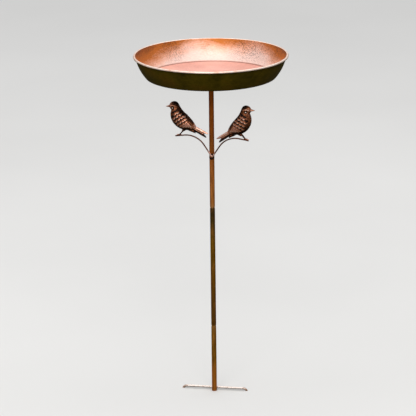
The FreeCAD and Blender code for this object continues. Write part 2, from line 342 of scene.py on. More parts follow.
@dataclass(frozen=True)
class BrushedBowl:
    """Inside of the dish: pink copper, brushed round, browner and darker towards the rim, with painted
    highlight on the lower wall and the far wall, and painted shade at the left and right ends and in the
    crease.
    """

    name: str
    floor: Colour
    dull_floor: Colour
    foot: Colour
    wall: Colour
    patina: Colour
    stain_and_shade: Colour
    floor_z: float
    rim_z: float
    crease_r: float
    clusters: tuple[tuple[float, float, float], ...] = (
        (-0.110, 0.117, 0.750),
        (0.046, 0.153, 0.748),
        (0.082, 0.138, 0.750),
        (0.128, 0.095, 0.746),
        (-0.060, -0.148, 0.752),
    )
    cluster_r: float = 0.046
    highlight_spots: tuple[tuple[float, float, float], ...] = (
        (-0.060, 0.143, 0.744),
        (0.078, 0.132, 0.736),
        (0.020, -0.150, 0.740),
    )
    highlight_r: float = 0.062

    def material(self) -> bpy.types.Material:
        """Build the material.

        Returns:
            The material.
        """
        graph = Graph(self.name)
        rise = graph.level(graph.axis("Z"), self.floor_z, self.rim_z)
        patch = graph.noise(graph.round_axis(6.0, 55.0), 1.0, 6.0, 0.72)
        brushed = graph.noise(graph.round_axis(26.0, 700.0), 1.0, 3.0, 0.6)
        fleck = graph.noise(graph.round_axis(34.0, 420.0), 1.0, 3.0, 0.7)
        height = self.patina_height(graph, rise, fleck)
        wide = graph.noise(graph.place, 9.0, 2.0, 0.5)
        floor = graph.mix(graph.level(wide, 0.40, 0.60), self.dull_floor, self.floor)
        # Painted highlight: the lower wall takes the near-white foot colour, the overhead light's reflection.
        colour = graph.mix(graph.level(rise, 0.03, 0.06), floor, self.foot)
        colour = graph.mix(graph.level(height, 0.12, 0.48), colour, self.wall)
        colour = graph.mix(graph.level(height, 0.45, 0.85), colour, self.patina)
        colour = graph.mix(graph.level(height, 0.95, 1.30, 0.0, 0.6), colour, self.stain_and_shade)
        low = graph.level(rise, 0.06, 0.75, 0.1, 1.0)
        spots = graph.math("MULTIPLY", graph.level(patch, 0.52, 0.72), low)
        spots = graph.math("MULTIPLY", spots, graph.level(fleck, 0.42, 0.62))
        colour = graph.mix(graph.math("MULTIPLY", spots, 0.75), colour, self.stain_and_shade)
        speck = graph.level(graph.noise(graph.place, 520.0, 3.0, 0.6), 0.50, 0.60)
        for centre in self.clusters:
            cluster = graph.level(graph.distance(centre), 0.008, self.cluster_r, 0.75, 0.0)
            colour = graph.mix(graph.math("MULTIPLY", speck, cluster), colour, self.stain_and_shade)
        colour = graph.mix(1.0, colour, graph.level(brushed, 0.3, 0.7, 0.86, 1.1), "MULTIPLY")
        # Painted shade: a dark ring in the crease where the floor meets the wall.
        from_crease = graph.math("ABSOLUTE", graph.math("SUBTRACT", graph.radius(), self.crease_r))
        crease = graph.level(from_crease, 0.0008, 0.0024, 0.65, 0.0)
        graph.set(
            Base_Color=graph.mix(crease, colour, self.stain_and_shade),
            Roughness=graph.level(patch, 0.3, 0.75, 0.52, 0.64),
            Normal=graph.bump(brushed, 0.0002, 0.3),
            Metallic=0.6,
        )
        return graph.material

    def patina_height(self, graph: Graph, rise: Socket, fleck: Socket) -> Socket:
        """Work out how deep in the patina each point lies, with painted shade and painted highlight worked
        in.

        Args:
            graph: The material's nodes.
            rise: Height in the bowl, from 0 at its floor to 1 at its rim.
            fleck: Fine noise.

        Returns:
            The height, broken up by noise, more at the left and right ends as painted shade and less in the
            spots of painted highlight.
        """
        cloud = graph.noise(graph.round_axis(2.2, 22.0), 1.0, 5.0, 0.62)
        height = graph.math("ADD", rise, graph.level(cloud, 0.3, 0.7, -0.22, 0.22))
        height = graph.math("ADD", height, graph.level(fleck, 0.3, 0.7, -0.1, 0.1))
        # Painted shade: the left and right ends of the bowl are made browner and darker.
        sideways = graph.math("ABSOLUTE", graph.axis("X"))
        height = graph.math("ADD", height, graph.level(sideways, 0.08, 0.16, 0.0, 0.34))
        # Painted highlight: spots of less patina, two on the far wall where the key light's highlight falls
        # and one on the near wall.
        for centre in self.highlight_spots:
            painted_highlight = graph.level(graph.distance(centre), 0.010, self.highlight_r, 0.30, 0.0)
            height = graph.math("SUBTRACT", height, painted_highlight)
        return height


@dataclass(frozen=True)
class DarkBronze:
    """Outside of the dish: near-black bronze with faint olive and brown clouds."""

    name: str
    olive: Colour
    brown: Colour
    black: Colour

    def material(self) -> bpy.types.Material:
        """Build the material.

        Returns:
            The material.
        """
        graph = Graph(self.name)
        cloud = graph.noise(graph.round_axis(3.0, 18.0), 1.0, 5.0, 0.6)
        grain = graph.noise(graph.round_axis(20.0, 500.0), 1.0, 3.0, 0.6)
        colour = graph.ramp(cloud, [(0.3, self.black), (0.5, self.olive), (0.72, self.brown)])
        colour = graph.mix(1.0, colour, graph.level(grain, 0.3, 0.7, 0.75, 1.2), "MULTIPLY")
        graph.set(
            Base_Color=colour,
            Roughness=graph.level(grain, 0.3, 0.7, 0.38, 0.5),
            Normal=graph.bump(grain, 0.00012, 0.3),
            Metallic=0.25,
            Specular_IOR_Level=0.08,
        )
        return graph.material


@dataclass(frozen=True)
class CastPatina:
    """Casting with dark patina in its hollows and copper worn bright on what stands proud, plus the painted
    light and shade held in its relief attribute.
    """

    name: str
    stops: tuple[tuple[float, Colour], ...]
    blush: Colour = (0.80, 0.36, 0.30)
    metallic: float = 0.7

    def material(self) -> bpy.types.Material:
        """Build the material.

        Returns:
            The material.
        """
        graph = Graph(self.name)
        relief = graph.node("ShaderNodeAttribute", {}, attribute_name="relief").outputs["Fac"]
        cloud = graph.noise(graph.place, 260.0, 4.0, 0.6)
        grain = graph.noise(graph.place, 1500.0, 2.0, 0.5)
        height = graph.math("ADD", relief, graph.level(cloud, 0.3, 0.7, -0.13, 0.13))
        colour = graph.ramp(height, self.stops)
        flush = graph.level(graph.noise(graph.place, 170.0, 2.0, 0.5), 0.46, 0.62, 0.0, 0.5)
        flush = graph.math("MULTIPLY", flush, graph.level(height, 0.35, 0.60))
        colour = graph.mix(flush, colour, self.blush)
        graph.set(
            Base_Color=colour,
            Roughness=graph.level(height, 0.2, 0.9, 0.55, 0.3),
            Normal=graph.bump(grain, 0.0001, 0.35),
            Metallic=self.metallic,
        )
        return graph.material


@dataclass(frozen=True)
class PlatedSteel:
    """Zinc-plated turned steel."""

    name: str
    colour: Colour

    def material(self) -> bpy.types.Material:
        """Build the material.

        Returns:
            The material.
        """
        graph = Graph(self.name)
        turned = graph.noise(graph.stretched((0.2, 0.2, 1.0)), 2500.0, 3.0, 0.5)
        cloud = graph.noise(graph.place, 400.0, 3.0, 0.5)
        dull = tuple(0.62 * part for part in self.colour)
        graph.set(
            Base_Color=graph.mix(graph.level(cloud, 0.35, 0.65), self.colour, dull),
            Roughness=graph.level(turned, 0.3, 0.7, 0.25, 0.42),
            Normal=graph.bump(turned, 0.00005, 0.3),
            Metallic=1.0,
        )
        return graph.material


@dataclass(frozen=True)
class Rubber:
    """Black moulded rubber with a dusty bloom."""

    name: str
    colour: Colour

    def material(self) -> bpy.types.Material:
        """Build the material.

        Returns:
            The material.
        """
        graph = Graph(self.name)
        bloom = graph.noise(graph.place, 700.0, 4.0, 0.6)
        dusty = tuple(part + 0.03 for part in self.colour)
        graph.set(
            Base_Color=graph.mix(graph.level(bloom, 0.45, 0.75), self.colour, dusty),
            Roughness=graph.level(bloom, 0.3, 0.7, 0.6, 0.85),
            Normal=graph.bump(bloom, 0.00008, 0.4),
        )
        return graph.material


# ---------------------------------------------------------------- shaping tools


def seal(shape: bmesh.types.BMesh, gap: float = 1e-6) -> None:
    """Merge doubles and point every face outwards.

    Args:
        shape: The mesh to close.
        gap: Vertices nearer than this become one.
    """
    bmesh.ops.remove_doubles(shape, verts=shape.verts, dist=gap)
    bmesh.ops.recalc_face_normals(shape, faces=shape.faces)


def to_mesh(shape: bmesh.types.BMesh, name: str) -> bpy.types.Mesh:
    """Turn a bmesh into a mesh and free it.

    Args:
        shape: The bmesh.
        name: The mesh's name.

    Returns:
        The mesh.
    """
    mesh = bpy.data.meshes.new(name)
    shape.to_mesh(mesh)
    shape.free()
    return mesh


def to_bmesh(mesh: bpy.types.Mesh) -> bmesh.types.BMesh:
    """Turn a mesh into a bmesh and free it.

    Args:
        mesh: The mesh.

    Returns:
        The bmesh.
    """
    shape = bmesh.new()
    shape.from_mesh(mesh)
    bpy.data.meshes.remove(mesh)
    return shape


def place_piece(
    mesh: bpy.types.Mesh,
    name: str,
    body: str,
    materials: Sequence[bpy.types.Material],
    stands_for: Sequence[str] = (),
    crease: float = 35.0,
) -> bpy.types.Object:
    """Make a mesh a piece of the model.

    Args:
        mesh: The finished mesh, in its place.
        name: The piece's name.
        body: The body that it rides on.
        materials: The piece's materials, in slot order.
        stands_for: The CAD nodes that it replaces.
        crease: Edges sharper than this many degrees stay sharp.

    Returns:
        The new object.
    """
    mesh.name = name
    mesh.materials.clear()
    for material in materials:
        mesh.materials.append(material)
    mesh.shade_smooth()
    mesh.set_sharp_from_angle(angle=math.radians(crease))
    piece = bpy.data.objects.new(name, mesh)
    bpy.context.scene.collection.objects.link(piece)
    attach(piece, body)
    if stands_for:
        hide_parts(*stands_for)
    LOG.info("%s: %d faces on %s", name, len(mesh.polygons), body)
    return piece


def modified(mesh: bpy.types.Mesh, kind: str, **settings: str | float) -> bpy.types.Mesh:
    """Pass a mesh through one modifier.

    Args:
        mesh: The mesh to change, which is removed.
        kind: The modifier's type.
        settings: The modifier's properties.

    Returns:
        The changed mesh.
    """
    holder = bpy.data.objects.new("holder", mesh)
    bpy.context.scene.collection.objects.link(holder)
    modifier = holder.modifiers.new(kind.lower(), kind)
    for name, value in settings.items():
        setattr(modifier, name, value)
    evaluated = holder.evaluated_get(bpy.context.evaluated_depsgraph_get())
    changed = bpy.data.meshes.new_from_object(evaluated)
    bpy.data.objects.remove(holder)
    bpy.data.meshes.remove(mesh)
    return changed


def fused(shape: bmesh.types.BMesh, voxel: float, rounds: int) -> bpy.types.Mesh:
    """Fuse overlapping bodies into one skin and soften it.

    Args:
        shape: The bodies, which are freed.
        voxel: Size of the skin's faces in metres.
        rounds: How many times it is softened.

    Returns:
        The skin.
    """
    mesh = modified(to_mesh(shape, "fused"), "REMESH", mode="VOXEL", voxel_size=voxel)
    return modified(mesh, "SMOOTH", factor=0.5, iterations=rounds)


class Outline:
    """A half-section drawn with straight lines and arcs, then turned about the Z axis."""

    def __init__(self, radius: float, height: float) -> None:
        """Put the pen down.

        Args:
            radius: Distance from the axis, in metres.
            height: Height, in metres.
        """
        self.shape = bmesh.new()
        self.tip = self.shape.verts.new((radius, 0.0, height))

    def line(self, radius: float, height: float) -> "Outline":
        """Draw a straight line.

        Args:
            radius: Its end's distance from the axis.
            height: Its end's height.

        Returns:
            The outline itself.
        """
        made = bmesh.ops.extrude_vert_indiv(self.shape, verts=[self.tip])
        self.tip = made["verts"][0]
        self.tip.co = (radius, 0.0, height)
        return self

    def arc(self, radius: float, height: float, turn: float, steps: int) -> "Outline":
        """Draw an arc.

        Args:
            radius: The centre's distance from the axis.
            height: The centre's height.
            turn: Angle in radians, anticlockwise in the half-section.
            steps: Number of edges.

        Returns:
            The outline itself.
        """
        made = bmesh.ops.spin(
            self.shape, geom=[self.tip], cent=(radius, 0, height), axis=(0, -1, 0), angle=turn, steps=steps
        )
        self.tip = next(item for item in made["geom_last"] if isinstance(item, bmesh.types.BMVert))
        return self

    def turned(self, steps: int) -> bmesh.types.BMesh:
        """Spin the outline a full turn about Z.

        Args:
            steps: Number of segments round the axis.

        Returns:
            A closed mesh.
        """
        geometry = self.shape.verts[:] + self.shape.edges[:]
        bmesh.ops.spin(
            self.shape,
            geom=geometry,
            cent=(0, 0, 0),
            axis=(0, 0, 1),
            angle=math.tau,
            steps=steps,
            use_merge=True,
        )
        seal(self.shape)
        return self.shape


class BentRod:
    """A round rod made as a wire bender makes it, from straight runs and bends in order."""

    def __init__(self, start: Vector, heading: Vector, radius: float, sides: int) -> None:
        """Cut the rod's first end.

        Args:
            start: Centre of the end.
            heading: Direction in which the rod runs.
            radius: The rod's radius.
            sides: Number of sides of its section.
        """
        self.shape = bmesh.new()
        self.tip = Vector(start)
        self.heading = Vector(heading).normalized()
        turn = self.heading.to_track_quat("Z", "Y").to_matrix().to_4x4()
        place = Matrix.Translation(self.tip) @ turn
        bmesh.ops.create_circle(self.shape, cap_ends=True, segments=sides, radius=radius, matrix=place)
        self.rim = self.shape.edges[:]

    def straight(self, length: float, scale: float = 1.0) -> "BentRod":
        """Run straight on.

        Args:
            length: Length of the run.
            scale: Size of the section at its end, relative to its start.

        Returns:
            The rod itself.
        """
        made = bmesh.ops.extrude_edge_only(self.shape, edges=self.rim)["geom"]
        ring = [item for item in made if isinstance(item, bmesh.types.BMVert)]
        self.rim = [edge for edge in made if isinstance(edge, bmesh.types.BMEdge)]
        self.rim = [edge for edge in self.rim if all(vert in ring for vert in edge.verts)]
        self.tip = self.tip + self.heading * length
        bmesh.ops.translate(self.shape, verts=ring, vec=self.heading * length)
        if scale != 1.0:
            bmesh.ops.scale(
                self.shape, verts=ring, vec=Vector((scale, scale, scale)), space=Matrix.Translation(-self.tip)
            )
        return self

    def run(self, length: float, parts: int) -> "BentRod":
        """Run straight on in equal parts.

        Args:
            length: Length of the whole run.
            parts: Number of parts.

        Returns:
            The rod itself.
        """
        for _ in range(parts):
            self.straight(length / parts)
        return self

    def bend(self, radius: float, angle: float, axis: Vector, steps: int) -> "BentRod":
        """Bend round.

        Args:
            radius: Radius of the bend on the rod's centre line.
            angle: Angle of the bend in radians.
            axis: Axis that it turns about by the right-hand rule.
            steps: Number of rings.

        Returns:
            The rod itself.
        """
        axis = Vector(axis).normalized()
        centre = self.tip + axis.cross(self.heading) * radius
        made = bmesh.ops.spin(self.shape, geom=self.rim, cent=centre, axis=axis, angle=angle, steps=steps)
        self.rim = [item for item in made["geom_last"] if isinstance(item, bmesh.types.BMEdge)]
        turn = Matrix.Rotation(angle, 3, axis)
        self.tip = centre + turn @ (self.tip - centre)
        self.heading = (turn @ self.heading).normalized()
        return self

    def point(self, length: float, steps: int = 4, blunt: float = 0.12) -> "BentRod":
        """Taper the end to a rounded point.

        Args:
            length: Length of the taper.
            steps: Number of rings.
            blunt: Size of the tip relative to the rod.

        Returns:
            The rod itself.
        """
        for step in range(steps):
            before = 1 - step / steps
            after = 1 - (step + 1) / steps
            self.straight(length / steps, max(after, blunt) / before)
        return self

    def finished(self) -> bmesh.types.BMesh:
        """Close the last end.

        Returns:
            A closed mesh.
        """
        bmesh.ops.edgeloop_fill(self.shape, edges=self.rim)
        seal(self.shape)
        return self.shape


def merge_into(target: bmesh.types.BMesh, source: bmesh.types.BMesh, place: Matrix | None = None) -> None:
    """Add one bmesh to another and free it.

    Args:
        target: The mesh that grows.
        source: The mesh that is added.
        place: Where to put it, or None to leave it.
    """
    if place is not None:
        bmesh.ops.transform(source, matrix=place, verts=source.verts)
    mesh = to_mesh(source, "merged")
    target.from_mesh(mesh)
    bpy.data.meshes.remove(mesh)


def blob(target: bmesh.types.BMesh, centre: Vector, size: Vector, turn: Matrix | None = None) -> None:
    """Add an ellipsoid.

    Args:
        target: The mesh that grows.
        centre: Its centre.
        size: Its half sizes along its own axes.
        turn: Its rotation, or None.
    """
    place = Matrix.Translation(centre) @ (turn or Matrix.Identity(4)) @ Matrix.Diagonal((*size, 1.0))
    bmesh.ops.create_icosphere(target, subdivisions=3, radius=1.0, matrix=place)


def roughen(mesh: bpy.types.Mesh, amount: float, scale: float, seed: float) -> None:
    """Push vertices along their normals by smooth noise.

    Args:
        mesh: The mesh to change.
        amount: Largest shift in metres.
        scale: Noise cycles per metre.
        seed: Offset that picks the pattern.
    """
    shift = Vector((seed, 2.7 * seed, 5.1 * seed))
    normals = [vertex.normal.copy() for vertex in mesh.vertices]
    for vertex, normal in zip(mesh.vertices, normals):
        vertex.co += normal * (amount * noise.noise(vertex.co * scale + shift))


def neighbour_means(mesh: bpy.types.Mesh, values: np.ndarray, rounds: int) -> np.ndarray:
    """Smooth a value over a mesh along its edges.

    Args:
        mesh: The mesh.
        values: One number for each vertex.
        rounds: How many times each vertex is averaged with its neighbours.

    Returns:
        The smoothed values.
    """
    count = len(mesh.vertices)
    ends = np.empty(len(mesh.edges) * 2, int)
    mesh.edges.foreach_get("vertices", ends)
    first, second = ends.reshape(-1, 2).T
    links = np.maximum(np.bincount(np.concatenate([first, second]), minlength=count), 1)
    for _ in range(rounds):
        total = np.bincount(first, values[second], count) + np.bincount(second, values[first], count)
        values = 0.5 * values + 0.5 * total / links
    return values


def vertex_vectors(mesh: bpy.types.Mesh, name: str) -> np.ndarray:
    """Read a vector of every vertex.

    Args:
        mesh: The mesh.
        name: "co" for positions or "normal" for normals.

    Returns:
        One row for each vertex.
    """
    values = np.empty(len(mesh.vertices) * 3)
    mesh.vertices.foreach_get(name, values)
    return values.reshape(-1, 3)


def raise_surface(mesh: bpy.types.Mesh, heights: np.ndarray) -> None:
    """Move each vertex along its normal.

    Args:
        mesh: The mesh to change.
        heights: Each vertex's own height in metres.
    """
    points = vertex_vectors(mesh, "co") + vertex_vectors(mesh, "normal") * heights[:, None]
    mesh.vertices.foreach_set("co", points.ravel())
    mesh.update()


def write_relief(mesh: bpy.types.Mesh, relief: np.ndarray) -> None:
    """Store each vertex's brightness for the casting material, from 0 in a hollow to 1 on a ridge, with any
    painted light and shade in it.
    """
    layer = mesh.attributes.new("relief", "FLOAT", "POINT")
    layer.data.foreach_set("value", np.clip(relief, 0, 1).astype(np.float32))


def ease(values: np.ndarray, low: float, high: float) -> np.ndarray:
    """Smooth step from 0 at low to 1 at high."""
    share = np.clip((values - low) / (high - low), 0, 1)
    return share * share * (3 - 2 * share)


# ---------------------------------------------------------------- the pole


@dataclass
class Pole:
    """Three push-fit tube sections."""

    finish: bpy.types.Material
    tube_r: float = 5.5 * MM
    wall: float = 0.9 * MM
    spigot_r: float = 4.55 * MM
    spigot_length: float = 30.0 * MM
    shoulder: float = 3.5 * MM
    edge: float = 0.25 * MM
    easing: float = 0.4 * MM
    steps: int = 64

    def section(self, node: str, body: str, swaged: bool) -> bpy.types.Object:
        """Build one section.

        Args:
            node: The CAD node that it replaces.
            body: The body that it rides on.
            swaged: Whether its top narrows to a spigot.

        Returns:
            The section's object.
        """
        low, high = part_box(node)
        foot, top = low.z, high.z
        bore_r = self.tube_r - self.wall
        outline = Outline(bore_r, foot + self.edge)
        outline.line(bore_r + self.edge, foot).line(self.tube_r - self.edge, foot)
        outline.arc(self.tube_r - self.edge, foot + self.edge, math.pi / 2, 3)
        if swaged:
            neck = top - self.spigot_length
            shoulder_foot = neck - self.shoulder
            outline.line(self.tube_r, shoulder_foot - self.easing)
            outline.line(self.tube_r - 0.08 * MM, shoulder_foot)
            outline.line(self.spigot_r + 0.1 * MM, neck - self.easing)
            outline.line(self.spigot_r, neck)
            outline.line(self.spigot_r, top - 1.0 * MM)
            outline.line(self.spigot_r - self.easing, top)
            outline.line(self.spigot_r - self.wall, top)
            outline.line(self.spigot_r - self.wall, neck)
            outline.line(bore_r, shoulder_foot)
        else:
            outline.line(self.tube_r, top - self.edge)
            outline.line(self.tube_r - self.edge, top)
            outline.line(bore_r, top)
        outline.line(bore_r, foot + self.edge)
        mesh = to_mesh(outline.turned(self.steps), node)
        return place_piece(mesh, f"{node}_skin", body, [self.finish], [node], 25.0)

    def build(self) -> None:
        """Build the three sections."""
        self.section("lower_tube", "lower", True)
        self.section("middle_tube", "middle", True)
        self.section("upper_tube", "upper", False)


# ---------------------------------------------------------------- the ground fork


@dataclass
class GroundFork:
    """Step bar with two prongs, and the spike in the foot of the pole."""

    bar_finish: bpy.types.Material
    spike_finish: bpy.types.Material
    weld_finish: bpy.types.Material
    rod_r: float = 2.5 * MM
    bend_r: float = 9.0 * MM
    point_length: float = 10.0 * MM
    spike_r: float = 4.0 * MM
    spike_point: float = 20.0 * MM

    def bar(self) -> bpy.types.Object:
        """Bend the step bar.

        Returns:
            The bar's object.
        """
        low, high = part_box("fork_bar")
        across = (low.y + high.y) / 2
        reach = high.x - self.rod_r
        rod = BentRod(Vector((0, across, 0)), Vector((1, 0, 0)), self.rod_r, 24)
        rod.straight(reach - self.bend_r).bend(self.bend_r, math.pi / 2, Vector((0, 1, 0)), 12)
        rod.straight(-low.z - self.bend_r - self.point_length).point(self.point_length)
        half = rod.finished()
        trim = 0.01 * MM
        bmesh.ops.bisect_plane(
            half,
            geom=half.verts[:] + half.edges[:] + half.faces[:],
            dist=1e-7,
            plane_co=(trim, 0, 0),
            plane_no=(-1, 0, 0),
            clear_outer=True,
        )
        bmesh.ops.translate(half, verts=half.verts, vec=(-trim, 0, 0))
        bmesh.ops.mirror(half, geom=half.verts[:] + half.edges[:] + half.faces[:], axis="X", merge_dist=1e-6)
        seal(half)
        long_edges = [edge for edge in half.edges if edge.calc_length() > 6 * MM]
        bmesh.ops.subdivide_edges(half, edges=long_edges, cuts=14)
        mesh = to_mesh(half, "fork_bar")
        roughen(mesh, 0.12 * MM, 180.0, 3.0)
        return place_piece(
            mesh, "fork_bar_rod", "lower", [self.bar_finish], ["fork_bar"], 50.0
        )

    def spike(self) -> bpy.types.Object:
        """Turn the spike.

        Returns:
            The spike's object.
        """
        low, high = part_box("ground_spike")
        foot_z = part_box("lower_tube")[0].z
        outline = Outline(0.0, low.z).line(0.35 * MM, low.z).line(0.7 * MM, low.z + 0.5 * MM)
        outline.line(self.spike_r - 0.2 * MM, low.z + self.spike_point)
        outline.line(self.spike_r, low.z + self.spike_point + 1.2 * MM)
        outline.line(self.spike_r, foot_z - 0.3 * MM).line(high.x, foot_z)
        outline.line(high.x, high.z).line(0.0, high.z)
        mesh = to_mesh(outline.turned(48), "ground_spike")
        return place_piece(
            mesh, "ground_spike_rod", "lower", [self.spike_finish], ["ground_spike"], 25.0
        )

    def welds(self) -> bpy.types.Object:
        """Run a weld down each side of the pole where the bar crosses behind it.

        Returns:
            The welds' object.
        """
        shape = bmesh.new()
        for side in (-1, 1):
            for step in range(5):
                spot = Vector((side * 3.4, 4.9 - 0.1 * (step % 2), 1.1 * (step - 2))) * MM
                blob(shape, spot, Vector((1.7, 1.3, 1.0)) * MM)
        mesh = fused(shape, 0.25 * MM, 3)
        roughen(mesh, 0.2 * MM, 600.0, 9.0)
        write_relief(mesh, np.full(len(mesh.vertices), 0.3))
        return place_piece(mesh, "fork_bar_weld", "lower", [self.weld_finish], crease=180.0)

    def build(self) -> None:
        """Build the bar, its welds and the spike."""
        self.bar()
        self.welds()
        self.spike()


# ---------------------------------------------------------------- the branch and the birds


class Side(Enum):
    """Which side of the pole a bird stands on."""

    LEFT = -1
    RIGHT = 1


@dataclass
class Branch:
    """Wire bent to a V on the front of the pole, with an arm arching out to each side."""

    finish: bpy.types.Material
    weld_finish: bpy.types.Material
    wire_r: float = 1.5 * MM
    yaw: float = math.radians(-7.5)
    shift: Vector = field(default_factory=lambda: Vector((2.5 * MM, -7.0 * MM, 0.0)))
    vertex_z: float = 538.6 * MM
    arm_slope: float = math.radians(56.0)
    tip_slope: float = math.radians(-8.0)
    tip_reach: float = 82.6 * MM
    tip_z: float = 581.4 * MM
    arm_bend: float = 46.0 * MM
    vertex_bend: float = 2.5 * MM
    tip_round: float = 0.8 * MM
    tip_size: float = 0.7
    weld_r: float = 5.15 * MM
    weld_half_angle: float = math.radians(70.0)

    def place(self) -> Matrix:
        """Matrix from the branch's own plane to its place on the pole."""
        return Matrix.Rotation(self.yaw, 4, "Z") @ Matrix.Translation(self.shift)

    def perch_z(self, reach: float) -> float:
        """Height of the wire's centre on the outer run of an arm."""
        return self.tip_z + (reach - self.tip_reach) * math.tan(self.tip_slope)

    def runs(self) -> tuple[float, float]:
        """Work out an arm's straight runs, without its bends.

        Returns:
            The inner and the outer run's length.
        """
        rise, fall = math.tan(self.arm_slope), math.tan(self.tip_slope)
        corner = (self.tip_z - self.vertex_z - fall * self.tip_reach) / (rise - fall)
        inner = corner / math.cos(self.arm_slope)
        outer = (self.tip_reach - corner) / math.cos(self.tip_slope)
        arm_cut = self.arm_bend * math.tan((self.arm_slope - self.tip_slope) / 2)
        vertex_cut = self.vertex_bend * math.tan(self.arm_slope)
        return inner - arm_cut - vertex_cut, outer - arm_cut

    def wire(self) -> bpy.types.Object:
        """Bend the wire from its left tip to its right tip.

        Returns:
            The wire's object.
        """
        inner, outer = self.runs()
        back = Vector((0, 1, 0))
        start = Vector((-self.tip_reach, 0, self.tip_z))
        heading = Vector((math.cos(self.tip_slope), 0, -math.sin(self.tip_slope)))
        turn = self.arm_slope - self.tip_slope
        rod = BentRod(start - heading * self.tip_round, heading, self.tip_size * self.wire_r, 20)
        rod.straight(self.tip_round, 1 / self.tip_size)
        rod.run(outer, 4).bend(self.arm_bend, turn, back, 28)
        rod.run(inner, 4).bend(self.vertex_bend, 2 * self.arm_slope, -back, 14)
        rod.run(inner, 4).bend(self.arm_bend, turn, back, 28)
        rod.run(outer, 4).straight(self.tip_round, self.tip_size)
        shape = rod.finished()
        bmesh.ops.transform(shape, matrix=self.place(), verts=shape.verts)
        mesh = to_mesh(shape, "branch_wire")
        roughen(mesh, 0.1 * MM, 260.0, 7.0)
        return place_piece(
            mesh, "branch_wire_rod", "upper", [self.finish], ["branch_wire"], 60.0
        )

    def weld(self) -> bpy.types.Object:
        """Run a dark band of weld round the front of the pole under the V, and fill the notch above it, both
        as painted shadow of the wire on the pole.

        Returns:
            The object of the weld and painted shadow.
        """
        shape = bmesh.new()
        beads = 15
        for step in range(beads):
            turn = self.weld_half_angle * (2 * step / (beads - 1) - 1)
            rise = 2.8 * (turn / self.weld_half_angle) ** 2
            spot = Vector((math.sin(turn), -math.cos(turn), 0.0)) * self.weld_r
            spot.z = self.vertex_z + (rise - 4.2 + 0.3 * (step % 2)) * MM
            blob(shape, spot, Vector((1.4, 0.9, 2.7)) * MM, Matrix.Rotation(turn, 4, "Z"))
        # Painted shadow: the notch between the V's arms is filled with dark blobs.
        notch = self.place() @ Vector((0.0, 1.3 * MM, self.vertex_z))
        for lift, size in ((2.4, 1.3), (4.0, 1.9), (5.6, 2.6), (7.0, 2.6)):
            blob(shape, notch + UP * (lift * MM), Vector((size, 1.0, 1.3)) * MM)
        mesh = fused(shape, 0.22 * MM, 4)
        roughen(mesh, 0.2 * MM, 700.0, 5.0)
        # Relief 0.14 makes the weld near black: painted shadow.
        write_relief(mesh, np.full(len(mesh.vertices), 0.14))
        return place_piece(mesh, "branch_weld_and_shadow", "upper", [self.weld_finish], crease=180.0)

    def build(self) -> None:
        """Build the wire and its weld, which is also painted shadow."""
        self.wire()
        self.weld()


@dataclass(frozen=True)
class Oval:
    """One cross-section of a cast part, in millimetres from the bird's foot, with its heading in degrees."""

    along: float
    height: float
    heading: float
    half_height: float
    half_depth: float


BODY = (
    Oval(37.0, 16.0, 150, 4.2, 3.4),
    Oval(33.0, 18.0, 150, 6.6, 5.2),
    Oval(28.0, 20.2, 149, 10.0, 8.0),
    Oval(20.0, 24.0, 148, 14.4, 11.0),
    Oval(11.2, 28.2, 146, 17.4, 12.8),
    Oval(3.0, 34.0, 142, 18.2, 13.4),
    Oval(-4.0, 41.0, 136, 17.6, 13.2),
    Oval(-8.2, 49.2, 130, 15.6, 12.6),
    Oval(-10.0, 57.0, 128, 13.0, 11.2),
    Oval(-11.0, 64.1, 148, 12.7, 10.8),
    Oval(-16.0, 65.0, 172, 10.2, 9.0),
    Oval(-19.8, 64.2, 182, 6.8, 6.2),
    Oval(-21.8, 63.5, 186, 4.4, 4.2),
)
UPPER_BLADE = (
    Oval(29.0, 20.4, 158, 3.8, 3.2),
    Oval(36.0, 17.4, 157, 4.0, 2.6),
    Oval(46.0, 13.0, 157, 3.7, 2.3),
    Oval(55.0, 9.3, 158, 3.2, 1.9),
    Oval(60.5, 7.4, 162, 2.1, 1.4),
    Oval(66.0, 6.1, 168, 0.6, 0.6),
)
LOWER_BLADE = (
    Oval(30.0, 16.2, 147, 4.0, 3.0),
    Oval(38.0, 12.0, 150, 4.0, 2.2),
    Oval(48.0, 6.4, 150, 3.6, 1.9),
    Oval(55.0, 2.2, 148, 2.9, 1.6),
    Oval(58.4, -0.4, 144, 1.9, 1.2),
    Oval(61.2, -3.0, 140, 0.6, 0.6),
)
UNDERTAIL = (
    Oval(18.0, 19.0, 150, 6.0, 6.0),
    Oval(25.0, 14.2, 146, 5.0, 5.0),
    Oval(31.0, 10.4, 145, 3.0, 3.2),
    Oval(37.2, 5.6, 143, 0.6, 0.8),
)
BILL = (
    Oval(-18.5, 63.6, 184, 4.4, 4.2),
    Oval(-21.6, 63.2, 185, 3.1, 3.0),
    Oval(-25.6, 62.6, 186, 1.7, 1.7),
    Oval(-31.4, 61.8, 188, 0.5, 0.5),
)
THIGH = (
    Oval(15.0, 19.0, -128, 5.2, 4.6),
    Oval(10.8, 13.4, -128, 4.2, 3.6),
    Oval(7.6, 9.6, -130, 2.2, 1.9),
    Oval(6.4, 8.2, -130, 1.4, 1.4),
)


WING_HEADING = -57.0
TAIL_ACROSS = (0.42, 0.91)


